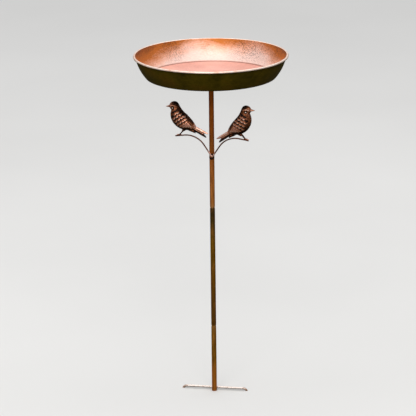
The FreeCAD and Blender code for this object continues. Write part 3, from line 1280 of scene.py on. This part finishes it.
@dataclass(frozen=True)
class Feather:
    """One feather on a bird's side: its free tip in millimetres from the foot, and its heading in degrees."""

    along: float
    height: float
    heading: float
    length: float
    half_width: float
    rise: float
    groove: float
    fade: float = 7.0
    groove_width: float = 1.3

    def carve(
        self, points: np.ndarray, level: np.ndarray, shade: np.ndarray
    ) -> tuple[np.ndarray, np.ndarray]:
        """Lay this feather over what lies there, with a groove in front of its tip.

        Args:
            points: Distance towards the tail and height of each point, in millimetres.
            level: The height of the relief so far, in millimetres.
            shade: How bright each point is so far, from 0 at a feather's root to 1 at its tip.

        Returns:
            The new height of the relief, and the new brightness.
        """
        angle = math.radians(self.heading)
        offset = points - (self.along, self.height)
        run = offset @ (math.cos(angle), math.sin(angle))
        share = np.abs(offset @ (-math.sin(angle), math.cos(angle))) / self.half_width
        edge = self.half_width * (np.sqrt(np.clip(1 - share**2, 0, 1)) - 1)
        body = (share < 1) & (run < edge) & (run > -self.length)
        front = (share < 1) & (run >= edge) & (run < edge + self.groove_width)
        ahead = (run - edge) / self.groove_width
        quill = 0.12 * np.exp(-((share / 0.12) ** 2))
        thickness = self.rise * (1 + run / self.length) * (1 - 0.45 * share**2 + quill)
        level = np.where(front, level - self.groove * (1 - ahead), level)
        level = np.where(body, np.maximum(thickness, 0.1), level)
        shade = np.where(front, np.minimum(shade, 0.7 * ahead), shade)
        glow = np.clip(1 + (run - edge) / self.fade, 0, 1) * (1 - 0.25 * share**4)
        shade = np.where(body, glow, shade)
        return level, shade


@dataclass
class Bird:
    """A cast bird facing away from the pole, in its own frame until it is perched."""

    side: Side
    branch: Branch
    finish: bpy.types.Material
    perch: float
    lean: float
    voxel: float = 0.36 * MM
    eye: tuple[float, float] = (-12.2, 61.4)
    eye_r: float = 2.0
    oval_sides: int = 24

    def place(self) -> Matrix:
        """Find the bird's place.

        Returns:
            Matrix from its own frame, foot at the origin and tail towards +X, to its perch.
        """
        reach = self.side.value * self.perch
        lift = self.branch.perch_z(self.perch) + self.branch.wire_r
        mirror = Matrix.Scale(-self.side.value, 4, Vector((1, 0, 0)))
        return self.branch.place() @ Matrix.Translation((reach, 0, lift)) @ mirror

    def perch_mesh(self, mesh: bpy.types.Mesh) -> None:
        """Move a mesh from the bird's own frame to its perch.

        Args:
            mesh: The mesh, which is turned right side out again where it is mirrored.
        """
        mesh.transform(self.place())
        if self.side is Side.RIGHT:
            mesh.flip_normals()

    def loft(self, ovals: Sequence[Oval]) -> bmesh.types.BMesh:
        """Bridge a run of ovals into one closed, rounded body.

        Args:
            ovals: The cross-sections in order.

        Returns:
            The body.
        """
        shape = bmesh.new()
        rings = []
        for oval in ovals:
            heading = math.radians(oval.heading)
            up = Vector((math.sin(heading), 0, -math.cos(heading)))
            ahead = Vector((math.cos(heading), 0, math.sin(heading)))
            turn = Matrix((up, Vector((0, 1, 0)), ahead)).transposed().to_4x4()
            size = Matrix.Diagonal((oval.half_height * MM, oval.half_depth * MM, MM, 1))
            place = Matrix.Translation(Vector((oval.along, 0, oval.height)) * MM) @ turn @ size
            before = set(shape.edges)
            bmesh.ops.create_circle(shape, cap_ends=False, segments=self.oval_sides, radius=1.0, matrix=place)
            rings.append([edge for edge in shape.edges if edge not in before])
        for first, second in zip(rings, rings[1:]):
            bmesh.ops.bridge_loops(shape, edges=first + second)
        for ring in (rings[0], rings[-1]):
            bmesh.ops.edgeloop_fill(shape, edges=ring)
        seal(shape)
        return to_bmesh(modified(to_mesh(shape, "loft"), "SUBSURF", levels=1, render_levels=1))

    def feathers(self) -> list[Feather]:
        """Lay out the folded wing.

        Returns:
            Its flight feathers and coverts, from the lowest layer to the top.
        """
        laid = []
        for quill in range(6):
            across = 19.0 + 3.1 * quill
            down = -11.5 + 1.9 * quill
            spot = self.wing_point(down, across)
            laid.append(Feather(*spot, -53.0, 26.0, 2.0, 1.3, 0.7, 34.0))
        rows = (
            (-13.6, (17.5, 24.0, 31.0), 3.6, 1.3),
            (-19.8, (13.2, 20.2, 27.6, 34.4), 3.9, 1.6),
            (-27.2, (14.4, 21.6, 29.2, 35.6), 4.0, 1.7),
            (-34.6, (13.6, 21.4, 29.6), 4.1, 1.7),
            (-41.4, (20.4, 27.4), 3.8, 1.5),
        )
        for down, spots, half_width, rise in rows:
            for across in spots:
                spot = self.wing_point(down, across)
                laid.append(Feather(*spot, WING_HEADING, 9.5, half_width, rise, 0.8))
        return laid

    def wing_point(self, down: float, across: float) -> tuple[float, float]:
        """Find a point on the bird's side.

        Args:
            down: Distance down the wing in millimetres.
            across: Distance across it in millimetres.

        Returns:
            Distance towards the tail, and height, in millimetres.
        """
        angle = math.radians(WING_HEADING)
        run, rise = math.cos(angle), math.sin(angle)
        return (run * down - rise * across, rise * down + run * across)

    def plumage(self, points: np.ndarray) -> tuple[np.ndarray, np.ndarray]:
        """Small feathers that cover the whole body.

        Args:
            points: Distance towards the tail and height of each point, in millimetres.

        Returns:
            The relief in millimetres, and how bright each point is.
        """
        level = np.zeros(len(points))
        shade = np.full(len(points), 0.5)
        rows, columns, row_gap, column_gap = 25, 14, 3.4, 4.0
        for row in reversed(range(rows)):
            for column in range(columns):
                across = -6.0 + column_gap * column + column_gap / 2 * (row % 2)
                spot = self.wing_point(-66.0 + row_gap * row, across)
                small = Feather(*spot, WING_HEADING, 5.4, 2.2, 0.17, 0.05, 4.6)
                level, shade = small.carve(points, level, shade)
        return level, shade

    def feathered(
        self, points: np.ndarray, side: np.ndarray, bare: np.ndarray, tail: np.ndarray
    ) -> tuple[np.ndarray, np.ndarray]:
        """Lay the folded wing over the small feathers.

        Args:
            points: Distance towards the tail and height of each point, in millimetres.
            side: How far each point faces sideways, from 0 to 1.
            bare: Where there are no small feathers.
            tail: Where the tail is.

        Returns:
            The relief in millimetres, and the tone of the patina.
        """
        down, down_shade = self.plumage(points)
        level = down * (1 - bare)
        tone = 0.37 + 0.15 * (down_shade - 0.5) * (1 - bare) + 0.06 * bare
        wing = np.full(len(points), -1.0)
        wing_shade = np.zeros(len(points))
        for feather in self.feathers():
            wing, wing_shade = feather.carve(points, wing, wing_shade)
        on_wing = (wing > -0.95) & (tail < 0.5)
        level = np.where(on_wing, side * wing + (1 - side) * level, level)
        tone = np.where(on_wing, side * (0.10 + 0.66 * wing_shade) + (1 - side) * tone, tone)
        return level, tone

    def brow(self, points: np.ndarray) -> np.ndarray:
        """Find the curved brow over the eye.

        Args:
            points: Distance towards the tail and height of each point, in millimetres.

        Returns:
            How far each point is on it, from 0 to 1.
        """
        from_eye = points - self.eye
        run = from_eye @ (0.98, 0.2)
        lift = from_eye @ (-0.2, 0.98) - 5.6 + 0.05 * run**2
        return np.exp(-((lift / 1.3) ** 2)) * (1 - ease(np.abs(run), 5.0, 8.5))

    def painted_light_and_tone(self, points: np.ndarray, normals: np.ndarray, tail: np.ndarray) -> np.ndarray:
        """Work out painted shade and tone: painted shade where the casting faces down and where it faces up
        and back; lighter tail edge, rump and forehead; darker lower tail and crown.

        Args:
            points: Distance towards the tail and height of each point, in millimetres.
            normals: The direction that each point faces.
            tail: Where the tail is.

        Returns:
            How much brighter each point is, or darker where it is negative.
        """
        across = points @ TAIL_ACROSS
        bright = tail * (0.30 * ease(across, 27.5, 29.5) - 0.24 * (1 - ease(across, 26.5, 28.5)))
        rump = np.linalg.norm((points - (29.2, 19.8)) / (3.4, 5.0), axis=1)
        bright += 0.26 * (1 - ease(rump, 0.5, 1.1))
        # Painted shade: faces turned up and back, outside the crown, are made darker.
        upward = ease(normals @ (0.62, 0.0, 0.78), 0.45, 0.85) * (1 - tail)
        crown = ease(points[:, 1], 64.0, 74.0) * ease(points[:, 0], -21.0, -10.0)
        # The crown is darker; faces turned down get painted shade.
        bright -= 0.12 * upward * (1 - crown) + 0.22 * crown + 0.22 * ease(-normals[:, 2], 0.1, 0.8)
        forehead = ease(-points[:, 0], 12.0, 19.0) * ease(points[:, 1], 57.0, 62.0)
        return bright + 0.10 * forehead

    def carving(self, mesh: bpy.types.Mesh) -> tuple[np.ndarray, np.ndarray]:
        """Work out the relief cut into a bird's body.

        Args:
            mesh: The smooth bird.

        Returns:
            The height at each vertex in millimetres, and how bright the patina is there, with painted light
            and shade added.
        """
        normals = vertex_vectors(mesh, "normal")
        points = (vertex_vectors(mesh, "co") / MM)[:, [0, 2]]
        from_eye = np.linalg.norm(points - self.eye, axis=1)
        bill = ease(-points[:, 0], 20.0, 22.5) * ease(points[:, 1], 50.0, 54.0)
        tail = ease(points[:, 0], 31.0, 36.0)
        bare = np.maximum(np.maximum(bill, tail), 1 - ease(from_eye, 4.5, 8.5))
        side = ease(np.abs(normals[:, 1]), 0.25, 0.72)
        level, tone = self.feathered(points, side, bare, tail)
        barbs = np.cos((points @ TAIL_ACROSS - 24.6) * math.pi / 1.75)
        level += 0.22 * tail * barbs * side
        socket = ease(from_eye, 1.5, 2.2) * (1 - ease(from_eye, 2.8, 4.2))
        ball = np.sqrt(np.clip(1 - (from_eye / self.eye_r) ** 2, 0, 1))
        brow = self.brow(points)
        level += side * (1.2 * ball - 1.2 * socket + 0.7 * brow)
        level = neighbour_means(mesh, level, 2)
        # Painted highlight on the brow and a painted glint on the eye's ball; the socket is darker.
        tone += 0.24 * brow + 0.42 * (from_eye < 0.9 * self.eye_r) - 0.45 * socket
        tone += 0.14 * bill * (1 - ease(normals[:, 2], -0.1, 0.5))
        return level, tone + self.painted_light_and_tone(points, normals, tail)

    def casting(self) -> bpy.types.Object:
        """Model the bird and perch it.

        Returns:
            The casting's object.
        """
        core = self.loft(BODY)
        for depth in (-1.8 * MM, 1.8 * MM):
            merge_into(core, self.loft(THIGH), Matrix.Translation((0, depth, 0)))
        shape = to_bmesh(fused(core, 2 * self.voxel, 7))
        for part in (UPPER_BLADE, LOWER_BLADE, UNDERTAIL, BILL):
            merge_into(shape, self.loft(part))
        mesh = fused(shape, self.voxel, 2)
        level, tone = self.carving(mesh)
        raise_surface(mesh, level * MM)
        proud = level - neighbour_means(mesh, level, 30)
        write_relief(mesh, tone + 0.35 * proud)
        roughen(mesh, 0.12 * MM, 420.0, 11.0)
        mesh.transform(Matrix.Rotation(self.lean, 4, "Y"))
        self.perch_mesh(mesh)
        node = f"{self.side.name.lower()}_bird"
        return place_piece(mesh, f"{node}_casting", "upper", [self.finish], [node], 180.0)

    def legs(self) -> bpy.types.Object:
        """Bend the two legs and wrap the toes over the perch.

        Returns:
            The legs' object.
        """
        shape = bmesh.new()
        for depth in (-1.4, 1.4):
            hip = Vector((13.0, depth, 15.0)) * MM
            knee = Vector((6.0, depth, 7.6)) * MM
            ankle = Vector((0.9, depth, 1.5)) * MM
            for first, second, radius, taper in ((hip, knee, 1.5, 0.95), (knee, ankle, 1.35, 0.85)):
                run = second - first
                rod = BentRod(first - run * 0.03, run, radius * MM, 16).straight(run.length * 1.06, taper)
                merge_into(shape, rod.finished())
            blob(shape, knee, Vector((1.5, 1.35, 1.5)) * MM)
            blob(shape, ankle, Vector((1.4, 1.25, 1.1)) * MM)
            for reach, splay, thick in ((-5.6, -0.9, 0.85), (-6.2, 0.3, 0.9), (4.2, 0.0, 0.85)):
                toe = Vector((reach, depth * 0.7 + splay, 0.1)) * MM
                run = toe - ankle
                merge_into(shape, BentRod(ankle, run, thick * MM, 12).straight(run.length, 0.7).finished())
                blob(shape, toe, Vector((1.0, 0.75, 0.65)) * MM)
        seal(shape)
        mesh = fused(shape, 0.26 * MM, 3)
        height = vertex_vectors(mesh, "co")[:, 2] / MM
        upward = vertex_vectors(mesh, "normal")[:, 2]
        # Painted highlight: the toes are lighter where they face up.
        write_relief(mesh, 0.22 + 0.5 * (1 - ease(height, 0.8, 2.4)) * ease(upward, 0.0, 0.7))
        self.perch_mesh(mesh)
        node = f"{self.side.name.lower()}_legs"
        return place_piece(mesh, f"{node}_wire", "upper", [self.finish], [node], 180.0)

    def build(self) -> None:
        """Build the casting and its legs."""
        self.casting()
        self.legs()


# ---------------------------------------------------------------- the dish and its screw mount


class Coat(Enum):
    """Which material a face of the bowl has, by its slot: the inside, the lip with its painted highlight, or
    the outside.
    """

    INSIDE = 0
    LIP_HIGHLIGHT = 1
    OUTSIDE = 2


@dataclass
class Dish:
    """Spun bowl with a lip rolled outwards, its stiffening plate and its socket."""

    inside: bpy.types.Material
    lip_highlight: bpy.types.Material
    outside: bpy.types.Material
    rim_r: float = 167.5 * MM
    lip_r: float = 2.5 * MM
    sheet: float = 0.8 * MM
    wall_curve: float = 102.0 * MM
    wall_lean: float = math.radians(11.9)
    corner_r: float = 3.0 * MM
    steps: int = 180

    def bowl(self) -> bpy.types.Object:
        """Spin the bowl.

        Returns:
            The bowl's object.
        """
        low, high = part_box("dish_bowl")
        base_z, rim_z = low.z, high.z
        lip_x, lip_z = self.rim_r - self.lip_r, rim_z - self.lip_r
        reach = self.wall_curve - self.sheet + self.lip_r
        wall_x = lip_x - reach * math.cos(self.wall_lean)
        wall_z = lip_z + reach * math.sin(self.wall_lean)
        corner_reach = self.wall_curve - self.corner_r
        corner_angle = -math.asin((wall_z - base_z - self.corner_r) / corner_reach)
        corner_x = wall_x + corner_reach * math.cos(corner_angle)
        corner_z = wall_z + corner_reach * math.sin(corner_angle)
        side = math.acos((reach**2 + self.lip_r**2 - self.wall_curve**2) / (2 * reach * self.lip_r))
        lip_foot = math.pi - self.wall_lean + side
        foot_x = lip_x + self.lip_r * math.cos(lip_foot)
        foot_z = lip_z + self.lip_r * math.sin(lip_foot)
        outer_top = math.atan2(foot_z - wall_z, foot_x - wall_x)
        outline = Outline(0.0, base_z).line(corner_x * 0.5, base_z).line(corner_x, base_z)
        outline.arc(corner_x, corner_z, corner_angle + math.pi / 2, 6)
        outline.arc(wall_x, wall_z, outer_top - corner_angle, 22)
        outline.arc(lip_x, lip_z, math.tau - lip_foot + math.pi - self.wall_lean, 20)
        outline.arc(wall_x, wall_z, corner_angle + self.wall_lean, 22)
        outline.arc(corner_x, corner_z, -math.pi / 2 - corner_angle, 6)
        inner_z = base_z + self.sheet
        for share in (0.75, 0.5, 0.25):
            outline.line(corner_x * share, inner_z)
        outline.line(0.0, inner_z)
        shape = outline.turned(self.steps)
        self.coat(shape, lip_x, lip_z)
        mesh = to_mesh(shape, "dish_bowl")
        coats = [polygon.material_index for polygon in mesh.polygons]
        materials = [self.inside, self.lip_highlight, self.outside]
        piece = place_piece(mesh, "dish_bowl_sheet", "dish", materials, ["dish_bowl"], 40.0)
        piece.data.polygons.foreach_set("material_index", coats)
        return piece

    def coat(self, shape: bmesh.types.BMesh, lip_x: float, lip_z: float) -> None:
        """Share the bowl's faces between the three materials, with the lip's painted highlight on its top and
        outer face and the dark outside running up under the lip as painted shadow.

        Args:
            shape: The bowl.
            lip_x: The lip's centre, from the axis.
            lip_z: The lip's centre, in height.
        """
        for face in shape.faces:
            centre = face.calc_center_median()
            radius = math.hypot(centre.x, centre.y)
            inward = -(face.normal.x * centre.x + face.normal.y * centre.y) / max(radius, 1e-9)
            out, up = (radius - lip_x) / self.lip_r, (centre.z - lip_z) / self.lip_r
            on_lip = math.hypot(out, up) < 1.02 and (up > -0.45 or out < 0)
            # Painted highlight on the lip's top and outer face; its underside is left to the dark outside, as
            # painted shadow.
            if on_lip and (up > 0.6 or out > -0.3):
                coat = Coat.LIP_HIGHLIGHT
            elif max(inward, face.normal.z) > 0.1:
                coat = Coat.INSIDE
            else:
                coat = Coat.OUTSIDE
            face.material_index = coat.value

    def plate(self) -> bpy.types.Object:
        """Press the stiffening plate.

        Returns:
            The plate's object.
        """
        low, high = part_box("dish_plate")
        edge = 0.8 * MM
        outline = Outline(0.0, low.z).line(high.x - edge, low.z)
        outline.arc(high.x - edge, low.z + edge, math.pi / 2, 5).line(high.x, high.z).line(0.0, high.z)
        mesh = to_mesh(outline.turned(96), "dish_plate")
        return place_piece(
            mesh, "dish_plate_disc", "dish", [self.outside], ["dish_plate"], 30.0
        )

    def socket(self) -> bpy.types.Object:
        """Turn the socket, with a plain bore of the thread's size.

        Returns:
            The socket's object.
        """
        low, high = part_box("dish_socket")
        edge, chamfer, bore_r, depth = 0.6 * MM, 0.3 * MM, 3.05 * MM, 12.0 * MM
        outline = Outline(bore_r + chamfer, low.z).line(high.x - edge, low.z)
        outline.arc(high.x - edge, low.z + edge, math.pi / 2, 4).line(high.x, high.z - 0.2 * MM)
        outline.line(high.x - 0.2 * MM, high.z).line(0.0, high.z).line(0.0, low.z + depth)
        outline.line(bore_r, low.z + depth - 0.5 * MM).line(bore_r, low.z + chamfer)
        outline.line(bore_r + chamfer, low.z)
        mesh = to_mesh(outline.turned(64), "dish_socket")
        return place_piece(
            mesh, "dish_socket_boss", "dish", [self.outside], ["dish_socket"], 30.0
        )

    def build(self) -> None:
        """Build the bowl, plate and socket."""
        self.bowl()
        self.plate()
        self.socket()


@dataclass
class ScrewMount:
    """Plug, threaded stud and washer at the top of the pole."""

    steel: bpy.types.Material
    rubber: bpy.types.Material
    pitch: float = 1.0 * MM
    thread_depth: float = 0.5 * MM
    steps_per_turn: int = 36

    def plug(self) -> bpy.types.Object:
        """Turn the flanged plug.

        Returns:
            The plug's object.
        """
        low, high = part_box("top_plug")
        tube_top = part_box("upper_tube")[1].z
        bore_r, spigot_r, edge = 3.02 * MM, 4.58 * MM, 0.3 * MM
        outline = Outline(bore_r, low.z).line(spigot_r - edge, low.z).line(spigot_r, low.z + edge)
        outline.line(spigot_r, tube_top).line(high.x, tube_top).line(high.x, high.z - edge)
        outline.line(high.x - edge, high.z).line(bore_r, high.z).line(bore_r, low.z)
        mesh = to_mesh(outline.turned(64), "top_plug")
        return place_piece(mesh, "top_plug_collar", "upper", [self.steel], ["top_plug"], 30.0)

    def stud(self) -> bpy.types.Object:
        """Turn the stud's core and sweep its thread round it.

        Returns:
            The stud's object.
        """
        low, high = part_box("dish_stud")
        crest_r, root_r = high.x, high.x - self.thread_depth
        edge = 0.4 * MM
        outline = Outline(0.0, low.z).line(root_r - edge, low.z).line(root_r, low.z + edge)
        outline.line(root_r, high.z - edge).line(root_r - edge, high.z).line(0.0, high.z)
        core = outline.turned(self.steps_per_turn)
        turns = int((high.z - low.z) / self.pitch) - 2
        thread = bmesh.new()
        start_z = low.z + 0.6 * MM
        half = 0.42 * self.pitch
        sunk_r, crest = root_r - 0.15 * MM, 0.06 * MM
        corners = [
            thread.verts.new((sunk_r, 0, start_z)),
            thread.verts.new((crest_r, 0, start_z + half - crest)),
            thread.verts.new((crest_r, 0, start_z + half + crest)),
            thread.verts.new((sunk_r, 0, start_z + 2 * half)),
        ]
        bmesh.ops.spin(
            thread,
            geom=[thread.faces.new(corners)],
            cent=(0, 0, 0),
            axis=(0, 0, 1),
            dvec=(0, 0, self.pitch / self.steps_per_turn),
            angle=math.tau * turns,
            steps=turns * self.steps_per_turn,
        )
        seal(thread, 1e-7)
        merge_into(core, thread)
        mesh = to_mesh(core, "dish_stud")
        return place_piece(mesh, "dish_stud_thread", "upper", [self.steel], ["dish_stud"], 30.0)

    def washer(self) -> bpy.types.Object:
        """Mould the washer.

        Returns:
            The washer's object.
        """
        low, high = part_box("dish_washer")
        hole_r, edge = 3.3 * MM, 0.35 * MM
        outline = Outline(hole_r + edge, low.z).line(high.x - edge, low.z)
        outline.arc(high.x - edge, low.z + edge, math.pi / 2, 4)
        outline.line(high.x, high.z - edge).arc(high.x - edge, high.z - edge, math.pi / 2, 4)
        outline.line(hole_r + edge, high.z).line(hole_r, high.z - edge).line(hole_r, low.z + edge)
        outline.line(hole_r + edge, low.z)
        mesh = to_mesh(outline.turned(64), "dish_washer")
        return place_piece(
            mesh, "dish_washer_ring", "washer", [self.rubber], ["dish_washer"], 30.0
        )

    def build(self) -> None:
        """Build the plug, stud and washer."""
        self.plug()
        self.stud()
        self.washer()


# ---------------------------------------------------------------- the studio


@dataclass
class Studio:
    """Pale floor just under the step bar, soft lights and the camera."""

    distance: float = 5.0
    azimuth: float = math.radians(10.0)
    height: float = 1.8974
    pitch: float = math.radians(16.449)
    roll: float = math.radians(0.6245)
    lens: float = 205.724
    shift_x: float = -0.01075
    floor_z: float = -5.0 * MM
    bounce: Colour = (0.07, 0.065, 0.04)
    horizon: float = 0.12
    low_sky: float = 0.4
    high_sky: float = 0.85

    def camera(self) -> None:
        """Set the camera."""
        data = bpy.data.cameras.new("camera")
        data.lens = self.lens
        data.sensor_width = 36.0
        data.shift_x = self.shift_x
        data.clip_start, data.clip_end = 0.1, 100.0
        camera = bpy.data.objects.new("camera", data)
        place = Matrix.Rotation(self.azimuth, 4, "Z") @ Matrix.Translation((0, -self.distance, self.height))
        tilt = Matrix.Rotation(math.pi / 2 - self.pitch, 4, "X") @ Matrix.Rotation(-self.roll, 4, "Z")
        camera.matrix_world = place @ tilt
        bpy.context.scene.collection.objects.link(camera)
        bpy.context.scene.camera = camera

    def floor(self) -> None:
        """Lay the floor."""
        shape = bmesh.new()
        bmesh.ops.create_grid(shape, x_segments=1, y_segments=1, size=60.0)
        bmesh.ops.translate(shape, verts=shape.verts, vec=(0, 0, self.floor_z))
        mesh = to_mesh(shape, "floor")
        graph = Graph("floor_paint")
        cloud = graph.noise(graph.place, 0.8, 3.0, 0.5)
        pale = graph.ramp(cloud, [(0.3, (0.74, 0.74, 0.735)), (0.7, (0.79, 0.79, 0.785))])
        seen = graph.node("ShaderNodeLightPath", {}).outputs["Is Camera Ray"]
        graph.set(Base_Color=graph.mix(seen, self.bounce, pale), Roughness=0.9, Specular_IOR_Level=0.1)
        mesh.materials.append(graph.material)
        floor = bpy.data.objects.new("floor", mesh)
        bpy.context.scene.collection.objects.link(floor)

    def light(
        self, name: str, spot: tuple[float, float, float], size: float, power: float, colour: Colour
    ) -> None:
        """Hang one square softbox that faces the object.

        Args:
            name: The light's name.
            spot: Where it hangs.
            size: Its side in metres.
            power: Its power in watts.
            colour: Its colour.
        """
        data = bpy.data.lights.new(name, "AREA")
        data.shape = "SQUARE"
        data.size = size
        data.energy = power
        data.color = colour
        lamp = bpy.data.objects.new(name, data)
        aim = Vector((0, 0, 0.55)) - Vector(spot)
        lamp.matrix_world = Matrix.Translation(spot) @ aim.to_track_quat("-Z", "Y").to_matrix().to_4x4()
        bpy.context.scene.collection.objects.link(lamp)

    def dome(self) -> None:
        """Light the air softly, brighter overhead than at the horizon."""
        world = bpy.data.worlds.new("studio_air")
        world.use_nodes = True
        tree = world.node_tree
        background = tree.nodes["Background"]
        direction = tree.nodes.new("ShaderNodeTexCoord").outputs["Generated"]
        split = tree.nodes.new("ShaderNodeSeparateXYZ")
        ramp = tree.nodes.new("ShaderNodeValToRGB")
        seen = tree.nodes.new("ShaderNodeLightPath").outputs["Is Camera Ray"]
        mix = tree.nodes.new("ShaderNodeMix")
        mix.data_type = "RGBA"
        stops = ((0.0, self.horizon), (0.3, self.low_sky), (0.65, self.high_sky))
        set_stops(ramp.color_ramp, [(position, (level, level, level)) for position, level in stops])
        tree.links.new(direction, split.inputs[0])
        tree.links.new(split.outputs["Z"], ramp.inputs["Fac"])
        tree.links.new(seen, mix.inputs[0])
        tree.links.new(ramp.outputs["Color"], mix.inputs[6])
        mix.inputs[7].default_value = (0.78, 0.78, 0.78, 1.0)
        tree.links.new(mix.outputs[2], background.inputs["Color"])
        background.inputs["Strength"].default_value = 1.0
        bpy.context.scene.world = world

    def build(self) -> None:
        """Build the studio."""
        bpy.context.scene.view_settings.view_transform = "Standard"
        self.camera()
        self.floor()
        self.dome()
        self.light("sky_box", (0.0, 1.2, 3.6), 3.0, 30.0, (1.0, 0.99, 0.97))
        self.light("key_box", (0.2, -3.6, 2.7), 3.2, 90.0, (1.0, 0.98, 0.95))


# ---------------------------------------------------------------- assembly


def main() -> None:
    """Build the studio and every piece in order."""
    logging.basicConfig(level=logging.INFO, format="%(message)s")
    pole_copper = PoleCopper(
        "pole_copper",
        (
            (-0.02, (0.62, 0.20, 0.030)),
            (0.04, (0.54, 0.18, 0.020)),
            (0.075, (0.30, 0.13, 0.008)),
            (0.13, (0.28, 0.12, 0.010)),
            # painted highlight on the lower joint's shoulder at 0.147 m, painted shade in the seam at 0.152 m
            (0.147, (0.36, 0.17, 0.035)),
            (0.152, (0.19, 0.08, 0.010)),
            (0.19, (0.20, 0.08, 0.010)),
            (0.255, (0.25, 0.10, 0.005)),
            (0.345, (0.22, 0.105, 0.003)),
            (0.385, (0.10, 0.055, 0.006)),
            # painted shade in the seam at 0.4235 m, painted highlight on the upper tube's bottom edge at
            # 0.4245 m
            (0.4235, (0.05, 0.03, 0.006)),
            (0.4245, (0.68, 0.30, 0.10)),
            (0.434, (0.62, 0.225, 0.05)),
            (0.515, (0.60, 0.19, 0.04)),
            (0.545, (0.44, 0.13, 0.018)),
            (0.59, (0.40, 0.105, 0.012)),
            (0.70, (0.60, 0.13, 0.007)),
        ),
    ).material()
    # Painted highlight on the V at the front of the pole.
    wire_copper = WireCopper(
        "wire_copper", dark=(0.03, 0.009, 0.004), middle=(0.24, 0.075, 0.032), painted_highlight=(1.0, 0.60, 0.50)
    ).material()
    # Painted highlight along the step bar, out to its bends.
    fork_copper = WireCopper(
        "fork_copper",
        dark=(0.20, 0.08, 0.03),
        middle=(0.50, 0.22, 0.09),
        painted_highlight=(1.0, 0.90, 0.84),
        near=0.062,
        far=0.074,
    ).material()
    spike_copper = AgedCopper(
        "spike_copper", dark=(0.07, 0.03, 0.01), middle=(0.40, 0.17, 0.06), bright=(0.7, 0.36, 0.18)
    ).material()
    bird_patina = CastPatina(
        "bird_patina",
        (
            (0.12, (0.006, 0.003, 0.002)),
            (0.28, (0.06, 0.017, 0.006)),
            (0.46, (0.38, 0.115, 0.035)),
            (0.66, (0.90, 0.43, 0.28)),
            (0.90, (1.0, 0.82, 0.72)),
        ),
    ).material()
    bowl_low, bowl_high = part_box("dish_bowl")
    # foot is the lower wall's painted highlight; stain_and_shade also paints the crease's shade.
    bowl_copper = BrushedBowl(
        "bowl_copper",
        floor=(0.94, 0.56, 0.48),
        dull_floor=(0.78, 0.42, 0.35),
        foot=(1.0, 0.76, 0.68),
        wall=(0.97, 0.57, 0.42),
        patina=(0.62, 0.20, 0.035),
        stain_and_shade=(0.14, 0.045, 0.02),
        floor_z=bowl_low.z,
        rim_z=bowl_high.z,
        crease_r=0.1394,
    ).material()
    # Painted highlight: the lip's copper is near-white pink, where the overhead light reflects off the rolled
    # lip.
    lip_copper_and_highlight = AgedCopper(
        "lip_copper_and_highlight",
        dark=(0.85, 0.50, 0.36),
        middle=(1.0, 0.77, 0.66),
        bright=(1.0, 0.88, 0.82),
        streak=(1.0, 1.0, 1.0),
        scale=120.0,
        metallic=0.4,
    ).material()
    bronze = DarkBronze(
        "dark_bronze", olive=(0.090, 0.062, 0.003), brown=(0.12, 0.064, 0.005), black=(0.042, 0.031, 0.0015)
    ).material()
    steel = PlatedSteel("plated_steel", (0.62, 0.60, 0.55)).material()
    rubber = Rubber("washer_rubber_black", (0.018, 0.018, 0.018)).material()
    Studio().build()
    Pole(pole_copper).build()
    GroundFork(fork_copper, spike_copper, bird_patina).build()
    branch = Branch(wire_copper, bird_patina)
    branch.build()
    for side, perch, lean in ((Side.LEFT, 73.3, 0.0), (Side.RIGHT, 76.0, 8.0)):
        Bird(side, branch, bird_patina, perch * MM, math.radians(lean)).build()
    Dish(bowl_copper, lip_copper_and_highlight, bronze).build()
    ScrewMount(steel, rubber).build()


if __name__ == "__main__":
    main()
